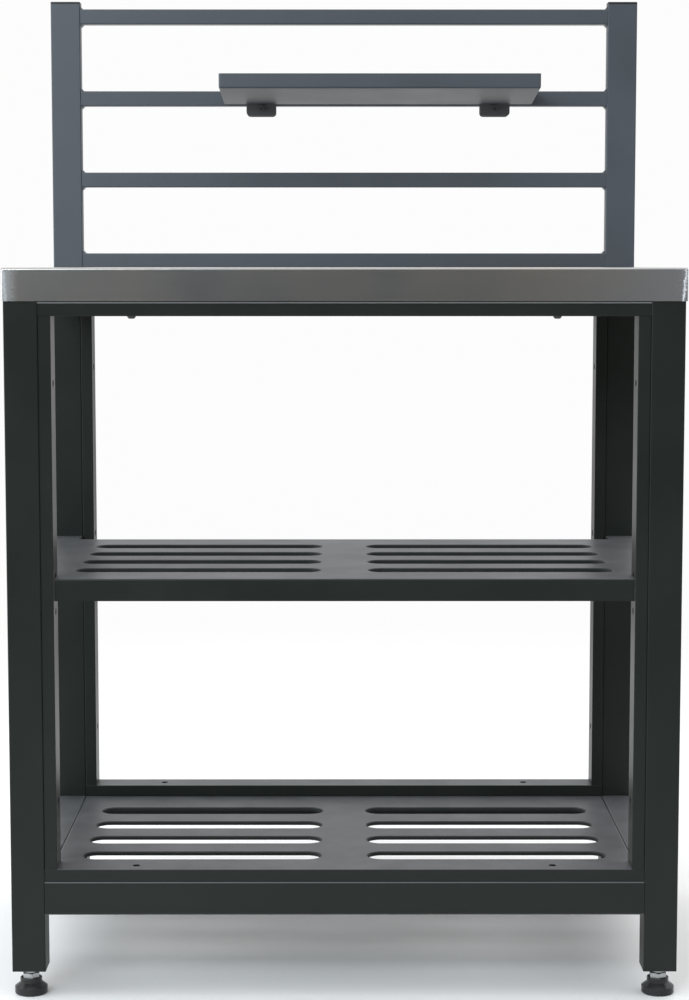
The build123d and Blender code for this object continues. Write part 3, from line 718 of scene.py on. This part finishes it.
def button_bolt(length):
    """Rings of a bolt from its socket's floor to its tip; the dome falls with the square of the radius."""
    rim = SOCKET_FLATS / 2 * ACROSS_CORNERS + SOCKET_RIM
    socket = [(SOCKET_DEPTH, NO_LIMIT, SOCKET_FLATS), (SOCKET_EDGE, NO_LIMIT, SOCKET_FLATS), (0.0, rim, 0)]
    fall, reach = HEAD_HEIGHT - HEAD_EDGE, HEAD_RADIUS - rim
    dome = [(fall * t**2, rim + reach * t, 0) for t in np.linspace(0.2, 1, 6)]
    under = [(HEAD_HEIGHT, HEAD_RADIUS, 0), (HEAD_HEIGHT, SHANK_RADIUS, 0)]
    tip = [(length - SHANK_TIP, SHANK_RADIUS, 0), (length, SHANK_RADIUS * SHANK_END, 0)]
    return turned(socket + dome + under + tip)


low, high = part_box("worktop_bolts")
heads = [(x, y, low[2]) for x in two_ends(low[0], high[0], HEAD_RADIUS)
         for y in two_ends(low[1], high[1], HEAD_RADIUS)]
grids = [stand(button_bolt(high[2] - low[2]), head) for head in heads]
fit(set_of_turned("socket_bolts_worktop", grids, blackened), "worktop_bolts", "table")

low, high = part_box("low_shelf_bolts")
heads = [(side * (high[0] - LOW_BOLT_LENGTH), y, (low[2] + high[2]) / 2, side) for side in (-1, 1)
         for y in two_ends(low[1], high[1], HEAD_RADIUS)]
grids = [stand(button_bolt(LOW_BOLT_LENGTH), (x, y, z), (side, 0, 0)) for x, y, z, side in heads]
fit(set_of_turned("socket_bolts_shelf", grids, blackened), "low_shelf_bolts", "table")

# %% [markdown]
# ### Rack bolts
# The rack hangs on four hexagon bolts from behind. The hexagon rings already have the chamfer that marks a
# real bolt head, so only a plain shank is added, and the bar is laid along Y.

# %% Rack bolts
RACK_FLATS, RACK_HEAD = 0.013, 0.0053
RACK_SHANK, RACK_TIP, RACK_END = 0.004, 0.0008, 0.8


def hexagon_bolt(length):
    """Rings of a hexagon bolt, from the top of its head to its tip."""
    shank = [(RACK_HEAD, RACK_SHANK, 0), (length - RACK_TIP, RACK_SHANK, 0),
             (length, RACK_SHANK * RACK_END, 0)]
    return turned(hexagon_rings(RACK_FLATS, 0.0, RACK_HEAD) + shank)


low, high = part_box("rack_bolts")
places = [(x, high[1], z) for x in two_ends(low[0], high[0], RACK_FLATS / 2 * ACROSS_CORNERS)
          for z in two_ends(low[2], high[2], RACK_FLATS / 2)]
bolt = hexagon_bolt(high[1] - low[1])
grids = [stand(bolt, place, (0, -1, 0)) for place in places]
fit(set_of_turned("rack_hexagon_bolts", grids, zinc), "rack_bolts", "table")

# %% [markdown]
# ### Nuts
# Nuts lock the feet, the shelf studs and the tray. A nut could be a bolt head with a hole cut in it, but as
# a bored piece its rings run round its wall and close on themselves, so nothing is cut.

# %% Nuts
NUT_SIZES = {"lock_nuts": (0.017, 0.00505), "shelf_nuts": (0.010, 0.00305)}
TRAY_NUT_FLATS, TRAY_NUT_BORE = 0.008, 0.00255


def nut(flats, height, bore):
    """Rings of a nut: out along its foot, up its flats and back in to the bore."""
    return turned([(0, bore, 0)] + hexagon_rings(flats, 0.0, height) + [(height, bore, 0)])


for node, (flats, bore) in NUT_SIZES.items():
    low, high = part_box(node)
    places = [(x, y, low[2]) for x in two_ends(low[0], high[0], flats / 2 * ACROSS_CORNERS)
              for y in two_ends(low[1], high[1], flats / 2)]
    grids = [stand(nut(flats, high[2] - low[2], bore), place) for place in places]
    fit(set_of_turned(f"chamfered_{node}", grids, zinc, bored=True), node, "table")

low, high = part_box("lock_screw_nuts")
tray_nut = nut(TRAY_NUT_FLATS, high[1] - low[1], TRAY_NUT_BORE)
middles = two_ends(low[0], high[0], TRAY_NUT_FLATS / 2 * ACROSS_CORNERS)
grids = [stand(tray_nut, (x, low[1], (low[2] + high[2]) / 2), (0, 1, 0)) for x in middles]
tray_nuts = set_of_turned("chamfered_tray_nuts", grids, blackened, bored=True)
fit(tray_nuts, "lock_screw_nuts", "tray")

# %% [markdown]
# ## Size and finish
# Both boxes are printed, the solids' and the looks', to show whether the turned pieces reach outside the
# solids. The looks may not outgrow the solids.

# %% Print both boxes
looks_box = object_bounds()
sizes = {"cad": cad_box, "visual": looks_box}
sizes = {name: [[float(number) for number in corner] for corner in box] for name, box in sizes.items()}
print(sizes)
